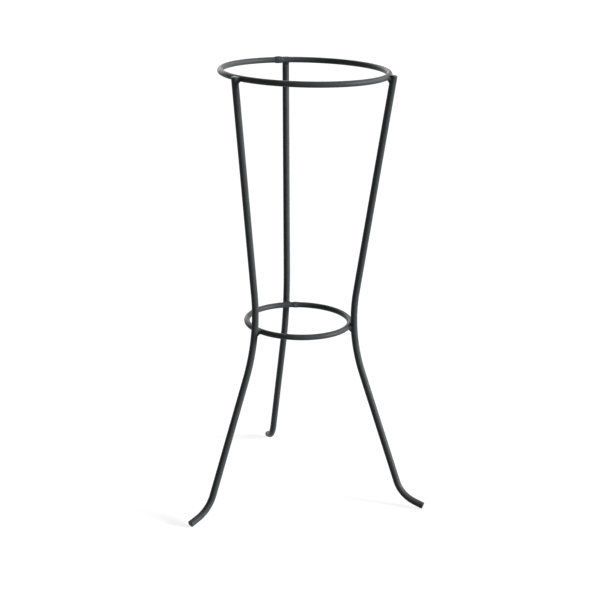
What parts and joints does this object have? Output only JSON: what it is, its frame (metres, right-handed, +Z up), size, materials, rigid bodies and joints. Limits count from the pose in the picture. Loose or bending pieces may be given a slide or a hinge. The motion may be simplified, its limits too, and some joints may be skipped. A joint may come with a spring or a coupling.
{
  "type": "plant stand",
  "caption": "Tall plant stand of welded round bar: bent legs splay from a narrow waist and carry a wide upper ring for a pot and a smaller ring at the waist.",
  "frame": {"origin": "on the rings' common axis, at the level of the floor that the feet stand on", "axes": "+Z up along the rings' axis; the rear leg stands on +Y; +X is to the right as the stand is seen from the front"},
  "size_m": [0.3376, 0.3097, 0.6111],
  "materials": {
    "coated_bar": "satin charcoal-black powder coat on steel bar",
    "coated_weld": "satin charcoal-black powder coat over rippled weld metal"
  },
  "bodies": {
    "root": {"top_ring": "coated_bar", "lower_ring": "coated_bar", "leg_rear": "coated_bar", "leg_front_left": "coated_bar", "leg_front_right": "coated_bar", "top_weld_rear": "coated_weld", "top_weld_front_left": "coated_weld", "top_weld_front_right": "coated_weld", "lower_weld_rear": "coated_weld", "lower_weld_front_left": "coated_weld", "lower_weld_front_right": "coated_weld", "top_ring_weld": "coated_weld", "lower_ring_weld": "coated_weld"}
  },
  "joints": []
}
